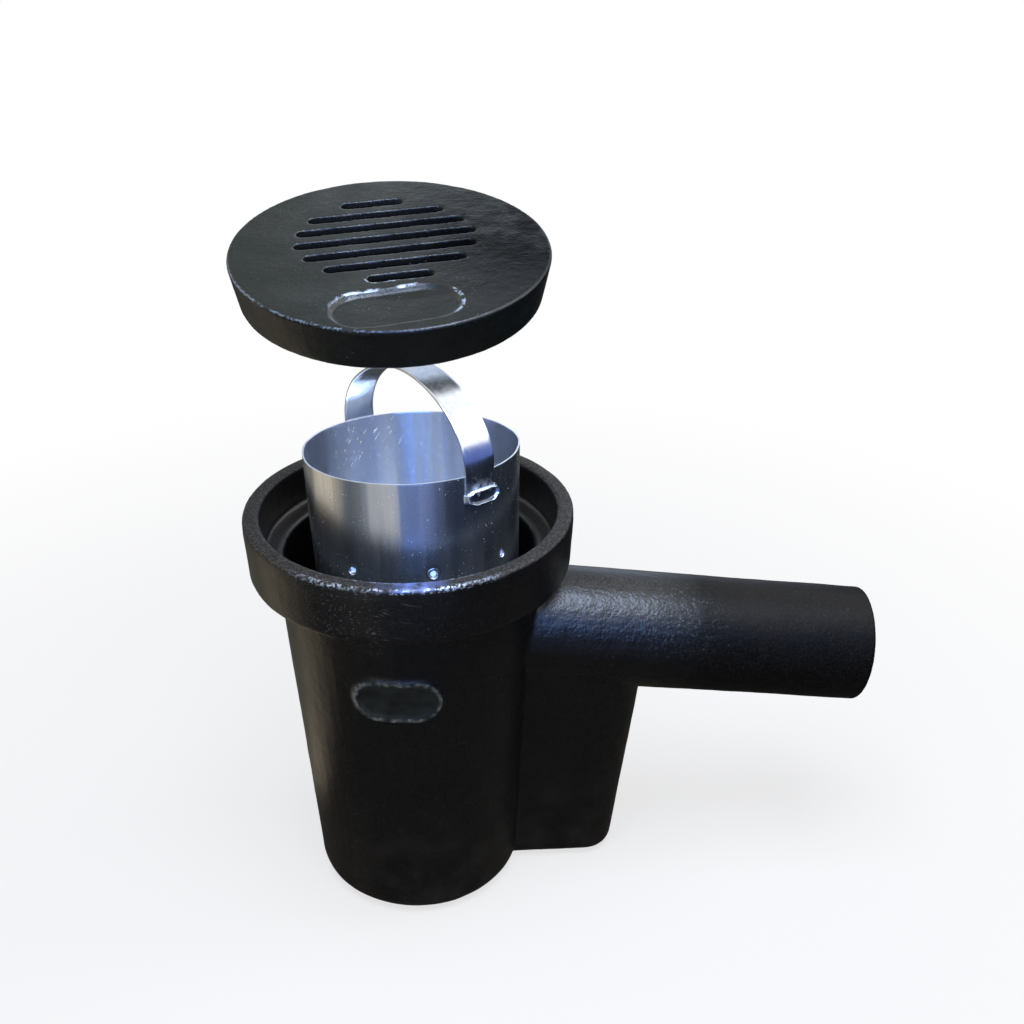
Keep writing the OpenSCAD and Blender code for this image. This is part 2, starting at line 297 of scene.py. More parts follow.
# %% Bucket wall as a plain tube
SIDES, RING_CUTS = 240, 70
select_nothing()
bpy.ops.mesh.primitive_cone_add(vertices=SIDES, radius1=wall_r(-BUCKET_H), radius2=BUCKET_R, depth=BUCKET_H,
                                end_fill_type="NOTHING", location=(0, 0, -BUCKET_H / 2))
wall = bpy.context.active_object
wall.name = "rolled_bucket_wall"
bpy.ops.object.transform_apply(location=True)
edit(wall)
bpy.ops.mesh.select_all(action="DESELECT")
bpy.ops.mesh.select_mode(type="EDGE")
leave_edit()
for edge in wall.data.edges:
    a, b = (wall.data.vertices[i].co for i in edge.vertices)
    edge.select = abs(a.z - b.z) > BUCKET_H / 2
bpy.ops.object.mode_set(mode="EDIT")
bpy.ops.mesh.subdivide(number_cuts=RING_CUTS)
leave_edit()
print("wall", len(wall.data.vertices), "points in", RING_CUTS + 2, "rings")

# %% [markdown]
# Hand rolling leaves faint flats that run down the wall, and they are what breaks the mirror into
# upright streaks. A few waves of tenths of a millimetre, each with its own count round the wall, add up
# to them. One slow wave turns a little on its way down, as the sheet was never quite square in the
# rolls.

# %% Flats from the rolls
ROLL_WAVES = ((0.26, 5, 1.2), (0.17, 11, 0.4), (0.09, 19, 2.2), (0.05, 37, 0))
SKEW_WAVE_MM, SKEW_PER_METRE = 0.2, 30


def roll_flats(turn, z):
    """How far the sheet stands in or out at this turn round the wall."""
    flats = sum(high_mm * math.sin(count * turn + start) for high_mm, count, start in ROLL_WAVES)
    flats += SKEW_WAVE_MM * math.sin(3 * turn + SKEW_PER_METRE * z)
    return flats * MM


for vertex in wall.data.vertices:
    x, y, z = vertex.co
    vertex.co += Vector((x, y, 0)).normalized() * roll_flats(math.atan2(y, x), z)
print("flats of up to", round(max(roll_flats(math.radians(a), 0) for a in range(360)) / MM, 2), "mm")

# %% [markdown]
# The drain holes were punched from outside with a round punch, so the sheet dishes in around each one.
# A soft push on the points near a hole makes the dish. The wall then gets its thickness.

# %% Dishes round the drain holes
DRAINS, DRAIN_FIRST, DRAIN_DROP, DRAIN_R = 8, 9, 84 * MM, 2.75 * MM
DISH_R, DISH_DEEP = 12 * MM, 2.4 * MM
drain_turns = [math.radians(DRAIN_FIRST + 360 // DRAINS * k) for k in range(DRAINS)]
drain_dirs = [Vector((math.cos(turn), math.sin(turn), 0)) for turn in drain_turns]
drain_down = Vector((0, 0, -DRAIN_DROP))
for out in drain_dirs:
    centre = out * wall_r(-DRAIN_DROP) + drain_down
    for vertex in wall.data.vertices:
        away = (vertex.co - centre).length
        if away < DISH_R:
            vertex.co -= out * DISH_DEEP * (0.5 + 0.5 * math.cos(math.pi * away / DISH_R)) ** 2
apply_modifier(wall, "SOLIDIFY", thickness=SHEET, offset=-1)
print(DRAINS, "dishes,", DISH_DEEP / MM, "mm deep")

# %% [markdown]
# Each hole is cut with a plain cylinder, all of them in one boolean. A narrow bevel breaks the cut
# edges, as the punch and years of handling did.

# %% Drain holes
CUT_EDGE, SHARP_TURN = 0.35 * MM, math.radians(50)
punches = []
for turn, out in zip(drain_turns, drain_dirs):
    bpy.ops.mesh.primitive_cylinder_add(vertices=28, radius=DRAIN_R, depth=20 * MM,
                                        location=out * wall_r(-DRAIN_DROP) + drain_down,
                                        rotation=(0, math.radians(90), turn))
    punches.append(bpy.context.active_object)
join(punches[0], punches[1:])
apply_modifier(wall, "BOOLEAN", operation="DIFFERENCE", object=punches[0], solver="EXACT")
bpy.data.objects.remove(punches[0])
apply_modifier(wall, "BEVEL", width=CUT_EDGE, segments=2, limit_method="ANGLE", angle_limit=SHARP_TURN)
print("wall with holes", triangles(wall), "triangles")

# %% [markdown]
# The punch also raised a rolled burr round each hole, which catches the light as a small ring. A torus
# half sunk in the dish makes it, and it becomes a part of the wall. The faces of the sheared top edge
# take a second material, so they are marked here.

# %% Burrs round the holes
BURR_R, BURR_WIDE, BURR_SET = 4.9 * MM, 1.5 * MM, 1.9 * MM
TOP_EDGE_DOWN = 0.4 * MM
burrs = []
for turn, out in zip(drain_turns, drain_dirs):
    bpy.ops.mesh.primitive_torus_add(major_segments=32, minor_segments=12, major_radius=BURR_R,
                                     minor_radius=BURR_WIDE,
                                     location=out * (wall_r(-DRAIN_DROP) - BURR_SET) + drain_down,
                                     rotation=(0, math.radians(90), turn))
    burrs.append(bpy.context.active_object)
join(wall, burrs)
bpy.ops.object.shade_smooth_by_angle(angle=math.radians(40))
for face in wall.data.polygons:
    face.material_index = int(face.center.z > -TOP_EDGE_DOWN)
onto_bucket(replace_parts(wall, "bucket_wall"))
print("wall with burrs", triangles(wall), "triangles")

# %% [markdown]
# The handle is one strip of flat steel bent cold over two round formers and a wider one for the crown.
# The rise of the arch and the side bends settle the radius of the crown, because the three rounds run
# into each other without a kink. The strip runs a little beside the bucket's axis.

# %% Measures of the strap
STRAP_W, STRAP_T, STRAP_RISE, STRAP_FOOT = 30 * MM, 2 * MM, 73 * MM, 21 * MM
STRAP_TURN = math.radians(-54)
STRAP_OFF = 5 * MM
STRAP_SWING = math.asin(STRAP_OFF / BUCKET_R)
SIDE_R = 60 * MM
SIDE_X = BUCKET_R + STRAP_T - SIDE_R
CROWN_R = (STRAP_RISE ** 2 + SIDE_X ** 2 - SIDE_R ** 2) / (2 * (STRAP_RISE - SIDE_R))
CROWN_Z = STRAP_RISE - CROWN_R
CROWN_HALF = math.atan2(SIDE_X, -CROWN_Z)
SIDE_BEND = math.pi / 2 - CROWN_HALF
print("crown radius", round(CROWN_R / MM, 1), "mm over", round(2 * math.degrees(CROWN_HALF), 1), "degrees")

# %% [markdown]
# Bending a strip over formers is exactly what the spin operator does: the strip's cross section is
# pulled up from the foot, spun round the centre of each bend, and pulled down again on the other side.

# %% Strap handle
FOOT_STEPS, SIDE_STEPS, CROWN_STEPS = 6, 22, 28
foot_step = STRAP_FOOT / FOOT_STEPS
select_nothing()
bpy.ops.mesh.primitive_grid_add(x_subdivisions=1, y_subdivisions=12, size=1,
                                location=(BUCKET_R + STRAP_T / 2, 0, -STRAP_FOOT))
strap = bpy.context.active_object
strap.name = "strap_handle"
strap.scale = (STRAP_T, STRAP_W, 1)
bpy.ops.object.transform_apply(location=True, scale=True)
edit(strap)
for step in range(FOOT_STEPS):
    bpy.ops.mesh.extrude_region_move(TRANSFORM_OT_translate={"value": (0, 0, foot_step)})
bpy.ops.mesh.spin(steps=SIDE_STEPS, angle=SIDE_BEND, center=(SIDE_X, 0, 0), axis=(0, 1, 0))
bpy.ops.mesh.spin(steps=CROWN_STEPS, angle=2 * CROWN_HALF, center=(0, 0, CROWN_Z), axis=(0, 1, 0))
bpy.ops.mesh.spin(steps=SIDE_STEPS, angle=SIDE_BEND, center=(-SIDE_X, 0, 0), axis=(0, 1, 0))
for step in range(FOOT_STEPS):
    bpy.ops.mesh.extrude_region_move(TRANSFORM_OT_translate={"value": (0, 0, -foot_step)})
bpy.ops.mesh.select_all(action="SELECT")
bpy.ops.mesh.remove_doubles(threshold=1e-6)
bpy.ops.mesh.normals_make_consistent(inside=False)
leave_edit()
print("strap top", round(max(v.co.z for v in strap.data.vertices) / MM, 2), "mm over the rim")

# %% [markdown]
# The feet were hammered to the round of the wall before they were welded. The sheet starts to bend a
# little above the rim and lies on the wall just below it. Each point of a foot moves in until it
# follows the wall, and the cut edges of the strip are broken with a small bevel.

# %% Strap feet
BENDS_FROM, BENDS_OVER, STRAP_EDGE = 12 * MM, 14 * MM, 0.45 * MM
for vertex in strap.data.vertices:
    x, y, z = vertex.co
    grip = min(1, max(0, (BENDS_FROM - z) / BENDS_OVER))
    round_in = BUCKET_R - math.sqrt(wall_r(min(z, 0)) ** 2 - (y + STRAP_OFF) ** 2)
    vertex.co.x -= math.copysign(grip * round_in, x)
apply_modifier(strap, "BEVEL", width=STRAP_EDGE, segments=2, limit_method="ANGLE", angle_limit=SHARP_TURN)
pick(strap)
bpy.ops.object.shade_smooth_by_angle(angle=math.radians(35))
beside_axis = Matrix.Translation((0, STRAP_OFF, 0))
strap.data.transform(Matrix.Rotation(STRAP_TURN - STRAP_SWING, 4, "Z") @ beside_axis)
onto_bucket(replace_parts(strap, "bucket_handle"))
print("strap handle", triangles(strap), "triangles")

# %% [markdown]
# A stick weld across the end of each foot froze as a long pool with swollen ends, a raised lip all
# round and a dark, sunken middle. It starts as a sphere. Each of its points keeps its turn round the
# pool and its share of the way out, and formulas give the outline and the height. Random draws make the
# two beads differ.

# %% Form of a weld bead
WELD_L, WELD_W, WELD_HIGH, WELD_UP = 38 * MM, 16.5 * MM, 4 * MM, 1.2 * MM
WELD_PROUD, LIP_AT, LIP_WIDE, POOL_HIGH, RIPPLES_PER_METRE = 0.9 * MM, 0.84, 0.12, 0.34, 520
weld_wall_r = wall_r(-STRAP_FOOT)


def pulled(value, power):
    return math.copysign(abs(value) ** power, value)


def weld_point(out, along, up, phases):
    """Where a point of the unit sphere lies on the bead; out points away from the wall."""
    reach, angle = min(1, math.hypot(along, up)), math.atan2(up, along)
    wobble = 1 + 0.03 * math.sin(4 * angle + phases[0]) + 0.015 * math.sin(9 * angle + phases[1])
    y = pulled(math.cos(angle), 0.6) * reach * wobble * WELD_L / 2
    waist = 0.84 + 0.16 * (2 * y / WELD_L) ** 2
    z = pulled(math.sin(angle), 0.6) * reach * wobble * waist * WELD_W / 2
    lip = math.exp(-((reach - LIP_AT) / LIP_WIDE) ** 2) * (1 + 0.12 * math.sin(7 * angle + phases[2]))
    ripple = 1 + 0.22 * math.sin(RIPPLES_PER_METRE * y + phases[3]) * (1 - reach)
    pool = POOL_HIGH * (1 - reach ** 4) * ripple
    high = (lip + pool) * min(1, 6 * (1 - reach)) if out > 0 else -0.3 * (1 - reach ** 2)
    x = high * WELD_HIGH + math.sqrt(weld_wall_r ** 2 - y * y) + WELD_PROUD * (1 - reach ** 6)
    return Vector((x, y, z - STRAP_FOOT + WELD_UP))


print("weld bead", WELD_L / MM, "mm long,", WELD_W / MM, "mm wide")

# %% [markdown]
# Both beads are made by one function. The faces inside the lip are marked, so that the burnt pool can
# take a material of its own. The back bead sits on the other foot, which the strap's offset turns a
# little.

# %% Weld beads
POOL_REACH, WELD_ON = 0.72, math.radians(1.5)


def weld_bead(name, node, turn, seed):
    draw = random.Random(seed)
    phases = [draw.uniform(0, 6.28) for k in range(4)]
    select_nothing()
    bpy.ops.mesh.primitive_uv_sphere_add(segments=120, ring_count=80, radius=1)
    bead = bpy.context.active_object
    bead.name = name
    in_pool = [math.hypot(v.co.y, v.co.z) < POOL_REACH and v.co.x > 0 for v in bead.data.vertices]
    for vertex in bead.data.vertices:
        vertex.co = weld_point(*vertex.co, phases)
    for face in bead.data.polygons:
        face.material_index = int(all(in_pool[i] for i in face.vertices))
    bpy.ops.object.shade_smooth()
    bead.data.transform(Matrix.Rotation(turn + WELD_ON, 4, "Z"))
    print(name, triangles(bead), "triangles")
    return onto_bucket(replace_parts(bead, node))


BACK_TURN = STRAP_TURN + math.pi - 2 * STRAP_SWING
weld_front = weld_bead("weld_bead_front", "handle_weld_front", STRAP_TURN, 4)
weld_back = weld_bead("weld_bead_back", "handle_weld_back", BACK_TURN, 9)

# %% [markdown]
# The colours are written as sRGB hex values, the way a paint chart gives them, and one function turns
# them into the linear numbers that the shader wants. One more function adds a node with its settings,
# values and links, and one gives a piece its materials and keeps the places that were marked on it.

# %% Helpers for materials
def paint(hex_value):
    parts = [int(hex_value[i:i + 2], 16) / 255 for i in (1, 3, 5)]
    return tuple(c / 12.92 if c <= 0.04045 else ((c + 0.055) / 1.055) ** 2.4 for c in parts) + (1,)


def add_node(tree, kind, values=None, links=None, **settings):
    node = tree.nodes.new("ShaderNode" + kind)
    for name, value in settings.items():
        setattr(node, name, value)
    for socket, value in (values or {}).items():
        node.inputs[socket].default_value = value
    for socket, source in (links or {}).items():
        tree.links.new(source, node.inputs[socket])
    return node


def new_material(name, **sockets):
    """A material whose shader sockets, written with _ for a space, have the given values."""
    material = bpy.data.materials.new(name)
    material.use_nodes = True
    shader = material.node_tree.nodes["Principled BSDF"]
    for socket, value in sockets.items():
        shader.inputs[socket.replace("_", " ")].default_value = value
    return material.node_tree, shader, material


def dress(obj, *materials):
    places = [face.material_index for face in obj.data.polygons]
    obj.data.materials.clear()
    for material in materials:
        obj.data.materials.append(material)
    obj.data.polygons.foreach_set("material_index", [min(p, len(materials) - 1) for p in places])


# %% [markdown]
# Finishes are built up as a painter works, from the undercoat up: a mask says where the next one lies,
# and it is laid over what is there. Two patterns serve as masks on every material here, spots and long
# scratches. The sizes are real, in millimetres, and the two bounds say how much of the noise shows.

# %% Layers, spots and scratches
def lay_over(tree, shader, mask, **finish):
    """Change the shader's sockets to the given finish where the mask is 1."""
    for name, value in finish.items():
        socket = shader.inputs[name.replace("_", " ")]
        kind = "RGBA" if socket.type == "RGBA" else "FLOAT"
        mix = add_node(tree, "Mix", {"A": socket.default_value, "B": value}, {"Factor": mask},
                       data_type=kind)
        if socket.is_linked:
            tree.links.new(socket.links[0].from_socket, mix.inputs["A"])
        tree.links.new(mix.outputs["Result"], socket)


def every(tree, first, *others):
    """A mask that is 1 only where all of the given masks are."""
    for other in others:
        first = add_node(tree, "Math", None, {0: first, 1: other}, operation="MULTIPLY").outputs[0]
    return first


def spots(tree, where, size_mm, low, high, detail=2):
    """Spots about size_mm across: 0 where the noise is below low, 1 where it is above high."""
    noise = add_node(tree, "TexNoise", {"Scale": 1000 / size_mm, "Detail": detail}, {"Vector": where})
    mask = add_node(tree, "MapRange", {"From Min": low, "From Max": high}, {"Value": noise.outputs["Fac"]})
    return mask.outputs[0]


def scratches(tree, where, turn, long_mm, thin_mm, low, high):
    """Spots drawn out into lines along X, which is turned by so many degrees round each axis."""
    drawn = add_node(tree, "Mapping", {"Rotation": [math.radians(a) for a in turn],
                                       "Scale": (long_mm * MM, thin_mm * MM, thin_mm * MM)},
                     {"Vector": where}, vector_type="TEXTURE")
    return spots(tree, drawn.outputs[0], 1 / MM, low, high, 1)


# %% [markdown]
# Wear also has its places. One mask fades out round a point of the piece, one starts past a height or
# another straight measure, one starts past a distance from the upright axis, and one follows the
# standing edges that were marked on the mesh.

# %% Masks by place
ALONG, BACK, UP = (1, 0, 0), (0, 1, 0), (0, 0, 1)


def near(tree, where, place_mm, full_mm, none_mm):
    """1 within full_mm of a place on the piece, fading to 0 at none_mm."""
    gap = add_node(tree, "VectorMath", {1: [c * MM for c in place_mm]}, {0: where}, operation="DISTANCE")
    return add_node(tree, "MapRange", {"From Min": none_mm * MM, "From Max": full_mm * MM},
                    {"Value": gap.outputs["Value"]}).outputs[0]


def past(tree, where, way, none_mm, full_mm):
    """0 where the piece measures none_mm along the way, 1 from full_mm on."""
    measure = add_node(tree, "VectorMath", {1: way}, {0: where}, operation="DOT_PRODUCT")
    return add_node(tree, "MapRange", {"From Min": none_mm * MM, "From Max": full_mm * MM},
                    {"Value": measure.outputs["Value"]}).outputs[0]


def off_axis(tree, where):
    """The distance from the upright axis of the trap."""
    level = add_node(tree, "VectorMath", {1: (1, 1, 0)}, {0: where}, operation="MULTIPLY")
    return add_node(tree, "VectorMath", None, {0: level.outputs[0]}, operation="LENGTH").outputs["Value"]


def past_ring(tree, where, none_mm, full_mm):
    """0 at none_mm from the upright axis, 1 from full_mm on."""
    return add_node(tree, "MapRange", {"From Min": none_mm * MM, "From Max": full_mm * MM},
                    {"Value": off_axis(tree, where)}).outputs[0]


def on_edges(tree, low, high):
    """1 where the standing edge is sharper than high, 0 where it is softer than low."""
    edges = add_node(tree, "Attribute", attribute_name="standing_edge")
    mask = add_node(tree, "MapRange", {"From Min": low, "From Max": high}, {"Value": edges.outputs["Fac"]})
    return mask.outputs[0]


# %% [markdown]
# Casting and cover are grey iron dipped hot in black bitumen. The coat is thin and glossy, and the sand
# of the mould shows through it as fine pimples, whose lighter specks are partly painted glints. A
# scanned image of such a skin would repeat over the piece, so two layers of noise raise it, one for the
# grains and one for the slow waves of the coat. Real moulding sand is finer than a millimetre, and it is
# drawn at two to three so that it shows. It stands out most near one place on each piece, where the
# mould was coarse.

# %% Bitumen coated iron
GRAIN_AND_GLINT_MM, CLOUDS_MM, GLOSS_MM = 1.7, 60, 22
CAST_LEAST, CAST_FULL_MM, CAST_NONE_MM = 0.42, 40, 120


def coated_iron(name, black, rough, sand, waves, rough_cast_at):
    """Two blacks and two roughnesses; sand and waves are each a size and a height in mm."""
    tree, shader, material = new_material(name, Base_Color=paint(black[0]), Metallic=0.0, IOR=1.5)
    where = add_node(tree, "TexCoord").outputs["Object"]
    lay_over(tree, shader, spots(tree, where, CLOUDS_MM, 0.35, 0.65, 3), Base_Color=paint(black[1]))
    # Lighter specks on the sand grains: the grains' grey and partly painted glints.
    lay_over(tree, shader, spots(tree, where, GRAIN_AND_GLINT_MM, 0.5, 0.68, 1), Base_Color=paint("#1f1e1d"))
    gloss = add_node(tree, "MapRange", {"To Min": rough[0], "To Max": rough[1]},
                     {"Value": spots(tree, where, GLOSS_MM, 0.3, 0.7, 4)})
    tree.links.new(gloss.outputs[0], shader.inputs["Roughness"])
    cast = add_node(tree, "MapRange", {"To Min": CAST_LEAST, "To Max": 1.0},
                    {"Value": near(tree, where, rough_cast_at, CAST_FULL_MM, CAST_NONE_MM)}).outputs[0]
    peel = add_node(tree, "TexNoise", {"Scale": 1000 / waves[0], "Detail": 2}, {"Vector": where})
    grain = add_node(tree, "TexNoise", {"Scale": 1000 / sand[0], "Detail": 2, "Roughness": 0.55},
                     {"Vector": where})
    coarse = add_node(tree, "Bump", {"Distance": waves[1] * MM},
                      {"Height": peel.outputs["Fac"], "Strength": cast})
    fine = add_node(tree, "Bump", {"Distance": sand[1] * MM},
                    {"Height": grain.outputs["Fac"], "Strength": cast, "Normal": coarse.outputs["Normal"]})
    tree.links.new(fine.outputs["Normal"], shader.inputs["Normal"])
    return tree, shader, where, material


# %% [markdown]
# The casting's coat gives the eye a deep black with a soft, broken highlight on the shoulder of the
# pipe. The outer end of the pipe was handled more and is dull, with a few cold lumps where the iron
# splashed, and brown earth holds on the foot that stood in the ground.

# %% Casting: coat, spigot end and foot
tree, shader, where, casting_iron = coated_iron("bitumen_coated_iron", black=("#0c0c0c", "#12100e"),
                                                rough=(0.285, 0.36), sand=(2.8, 0.5), waves=(8, 0.65),
                                                rough_cast_at=(205, -45, 285))
dull_end = past(tree, where, ALONG, 215, 275)
lay_over(tree, shader, dull_end, Roughness=0.45, Specular_IOR_Level=0.12)
lumps = every(tree, spots(tree, where, 3, 0.58, 0.66, 4), near(tree, where, (245, -38, 300), 10, 52))
lay_over(tree, shader, lumps, Base_Color=paint("#4a5055"), Roughness=0.4)
earth = every(tree, past(tree, where, UP, 150, 0), spots(tree, where, 26, 0.4, 0.7, 4))
lay_over(tree, shader, earth, Base_Color=paint("#2a2319"), Roughness=0.6)
print("casting wears", casting_iron.name)

# %% [markdown]
# The struck rim is the roughest part of the casting: flat, sandy and matt, speckled with grey where the
# grains stand out. In front, where the cover is lifted off and the bucket is knocked out, the corner is
# chipped to bright iron, whose pale blue is partly a painted highlight; the flat there carries a bluish
# sheen that is a painted reflection.

# %% Casting: rim of the collar
RIM_MM = RIM_Z / MM
on_flat = past(tree, where, UP, RIM_MM - 2.8, RIM_MM - 1.4)
lay_over(tree, shader, on_flat, Base_Color=paint("#1d1b1a"), Roughness=0.5, Specular_IOR_Level=0.25)
grains = every(tree, on_flat, spots(tree, where, 2.2, 0.44, 0.62))
lay_over(tree, shader, grains, Base_Color=paint("#474441"))
# A bluish sheen painted on the front of the flat: a painted reflection of the sky.
painted_blue_sheen = every(tree, on_flat, spots(tree, where, 12, 0.34, 0.56, 3),
                    near(tree, where, (2, -140, RIM_MM), 12, 32))
lay_over(tree, shader, painted_blue_sheen, Base_Color=paint("#6f80b6"), Metallic=0.3, Roughness=0.4)
# Pale blue chips on the front corner: bare iron, partly a painted highlight.
on_corner = every(tree, on_edges(tree, 0.3, 0.7), past(tree, where, UP, RIM_MM - 9, RIM_MM - 3))
chips_and_painted_glints = every(tree, on_corner, spots(tree, where, 2.4, 0.48, 0.56, 3),
                spots(tree, where, 16, 0.36, 0.52), near(tree, where, (-14, -152, RIM_MM), 52, 100))
lay_over(tree, shader, chips_and_painted_glints, Base_Color=paint("#b4c0cf"), Metallic=0.6, Roughness=0.4)
print("rim wear between", RIM_MM - 9, "and", RIM_MM, "mm")

# %% [markdown]
# Dust keeps to patches of the coat, and long scuffs run round the collar from dragging the trap on its
# side.

# %% Casting: dust and scuffs
DUST_MM, DUST_PATCH_MM = 2.2, 50
dust = every(tree, spots(tree, where, DUST_MM, 0.72, 0.75, 1),
             spots(tree, where, DUST_PATCH_MM, 0.55, 0.66))
lay_over(tree, shader, dust, Base_Color=paint("#4a4c4d"))
scuffs = every(tree, scratches(tree, where, (0, 14, 0), 44, 1.0, 0.66, 0.72),
               near(tree, where, (-62, -136, 372), 20, 80))
lay_over(tree, shader, scuffs, Base_Color=paint("#6d7072"), Roughness=0.5)
print("dust of", DUST_MM, "mm in patches of", DUST_PATCH_MM, "mm")

# %% [markdown]
# The bare name plate on the barrel is an obround. Its field holds grey dust and its border is rubbed.
# The mask has the plate's own shape: the place is folded over to one quarter of the plate, the straight
# half is taken off, and what is left is the distance from the plate's middle line.

# %% Casting: bare plate
PLATE_AT = Vector((-16, -116, 267)) * MM
PLATE_STRAIGHT, PLATE_FULL, PLATE_NONE = 18 * MM, 21.5 * MM, 23 * MM
folds = (("SUBTRACT", PLATE_AT), ("ABSOLUTE", (0, 0, 0)), ("SUBTRACT", (PLATE_STRAIGHT, 1, 0)),
         ("MAXIMUM", (0, 0, 0)))
off_plate = where
for operation, by in folds:
    off_plate = add_node(tree, "VectorMath", {1: by}, {0: off_plate}, operation=operation).outputs[0]
off_plate = add_node(tree, "VectorMath", None, {0: off_plate}, operation="LENGTH").outputs["Value"]
on_plate = add_node(tree, "MapRange", {"From Min": PLATE_NONE, "From Max": PLATE_FULL},
                    {"Value": off_plate})
on_plate = every(tree, on_plate.outputs[0], past(tree, where, BACK, 0, -1))
plate_field = every(tree, on_plate, spots(tree, where, 14, 0.3, 0.55, 3))
lay_over(tree, shader, plate_field, Base_Color=paint("#252b29"))
plate_border = every(tree, on_edges(tree, 0.3, 0.6), spots(tree, where, 7, 0.36, 0.6, 4), on_plate)
lay_over(tree, shader, plate_border, Base_Color=paint("#6c7473"), Roughness=0.5)
dress(casting, casting_iron)
print("plate mask", 2 * (PLATE_STRAIGHT + PLATE_FULL) / MM, "mm long")

# %% [markdown]
# The cover has the same coat over a finer skin, a little greener. A wire brush went round and round
# over it, so faint swirls run round the middle. They are spots read in turned coordinates: the turn
# round the axis and the distance from it. Hands have polished it in patches, and the side by the slots
# has gone flat and dull.

# %% Cover: coat and swirls
SWIRL_RING_MM = 5
tree, shader, where, cover_iron = coated_iron("bitumen_coated_cover", black=("#0b0d0d", "#171d1c"),
                                              rough=(0.285, 0.33), sand=(2.6, 0.5), waves=(9, 0.9),
                                              rough_cast_at=(60, 40, 640))
level = add_node(tree, "SeparateXYZ", None, {0: where})
turn_round = add_node(tree, "Math", None, {0: level.outputs["Y"], 1: level.outputs["X"]},
                      operation="ARCTAN2")
rings = add_node(tree, "Math", {1: 1000 / SWIRL_RING_MM}, {0: off_axis(tree, where)}, operation="MULTIPLY")
swirl = add_node(tree, "CombineXYZ", None, {0: turn_round.outputs[0], 1: rings.outputs[0]}).outputs[0]
lay_over(tree, shader, spots(tree, swirl, 1 / MM, 0.45, 0.8, 3), Base_Color=paint("#1b201f"),
         Roughness=0.285)
polished = spots(tree, where, 48, 0.42, 0.6, 4)
lay_over(tree, shader, polished, Base_Color=paint("#121615"), Roughness=0.36, Specular_IOR_Level=0.38)
dull_side = every(tree, near(tree, where, (112, 12, 640), 45, 125), spots(tree, where, 34, 0.28, 0.5, 3))
lay_over(tree, shader, dull_side, Base_Color=paint("#050606"), Specular_IOR_Level=0.1)
print("cover wears", cover_iron.name)

# %% [markdown]
# The cover hangs tipped, so heights on it are measured along its own upright. The slots are painted
# soot black as their shade. The edge is rubbed on the front left, where the cover is gripped, and the rim
# of the sunk plate is worn to pale iron in places; both pale marks are partly painted highlight. The
# wear stays on the upper side.

# %% Cover: painted slot shade and worn, highlighted edges
COVER_TIP = math.radians(10.5)
COVER_UP = (0, -math.sin(COVER_TIP), math.cos(COVER_TIP))
COVER_TOP_MM = 641 * math.cos(COVER_TIP)
sunk = past(tree, where, COVER_UP, COVER_TOP_MM - 1, COVER_TOP_MM - 3)
# The slots are painted near black as their shade.
painted_slot_shade = every(tree, sunk, past_ring(tree, where, 90, 86))
lay_over(tree, shader, painted_slot_shade, Base_Color=paint("#050606"), Roughness=0.6, Specular_IOR_Level=0.1)
top_side = past(tree, where, COVER_UP, COVER_TOP_MM - 12, COVER_TOP_MM - 9)
# Pale blue on the front left edge: wear, partly a painted highlight.
rubbed_edge_and_highlight = every(tree, on_edges(tree, 0.82, 1.0), past_ring(tree, where, 122, 126), top_side,
                    spots(tree, where, 5, 0.38, 0.55, 3), near(tree, where, (-80, -100, 620), 60, 110))
lay_over(tree, shader, rubbed_edge_and_highlight, Base_Color=paint("#77879c"), Metallic=0.3, Roughness=0.45)
by_plate = every(tree, near(tree, where, (4, -90.5, 624), 55, 60), past(tree, where, BACK, -61, -64),
                 past_ring(tree, where, 124, 120))
# Pale blue on the sunk plate's rim: wear, partly a painted highlight.
plate_rim_wear_and_highlight = every(tree, on_edges(tree, 0.15, 0.35), by_plate, top_side,
                  spots(tree, where, 6, 0.4, 0.56, 4), spots(tree, where, 30, 0.42, 0.5, 1))
lay_over(tree, shader, plate_rim_wear_and_highlight, Base_Color=paint("#aebfd6"), Metallic=0.4, Roughness=0.45)
dust = every(tree, spots(tree, where, DUST_MM, 0.72, 0.75, 1), spots(tree, where, 40, 0.5, 0.62))
lay_over(tree, shader, dust, Base_Color=paint("#6b7173"))
dress(cover, cover_iron)
print("cover top", round(COVER_TOP_MM, 1), "mm along its own upright")

# %% [markdown]
# The bucket is cold rolled sheet steel, left bare. The colour of a bare metal is the colour of its
# mirror, so the tints stay close to white. Roughness and tint change in runs down the wall, which come
# from noise that is drawn out along the bucket's upright.

# %% Bare sheet steel
RUN_LONG, TINT_MM, GLOSS_RUN_MM = 30, 7, 4


def upright_of(tree, where):
    """The place on the piece, drawn out along the bucket's upright, so that spots become runs down it."""
    return add_node(tree, "Mapping", {"Rotation": LEAN, "Scale": (1, 1, RUN_LONG)}, {"Vector": where},
                    vector_type="TEXTURE").outputs[0]


def sheet_steel(name, tint, rough, **sockets):
    tree, shader, material = new_material(name, Base_Color=paint(tint[0]), Metallic=1.0, **sockets)
    where = add_node(tree, "TexCoord").outputs["Object"]
    upright = upright_of(tree, where)
    lay_over(tree, shader, spots(tree, upright, TINT_MM, 0.35, 0.7, 3), Base_Color=paint(tint[1]))
    gloss = add_node(tree, "MapRange", {"To Min": rough[0], "To Max": rough[1]},
                     {"Value": spots(tree, upright, GLOSS_RUN_MM, 0.1, 0.9, 1)})
    tree.links.new(gloss.outputs[0], shader.inputs["Roughness"])
    return tree, shader, where, material


# %% [markdown]
# The rolling grain runs level round the wall, so what the wall mirrors is drawn out up and down into
# streaks and stays sharp sideways: that is what anisotropy does, turned by a quarter. The real grain is
# hundredths of a millimetre fine. It is drawn at half a millimetre, so that it shows and breaks the
# mirror a little.

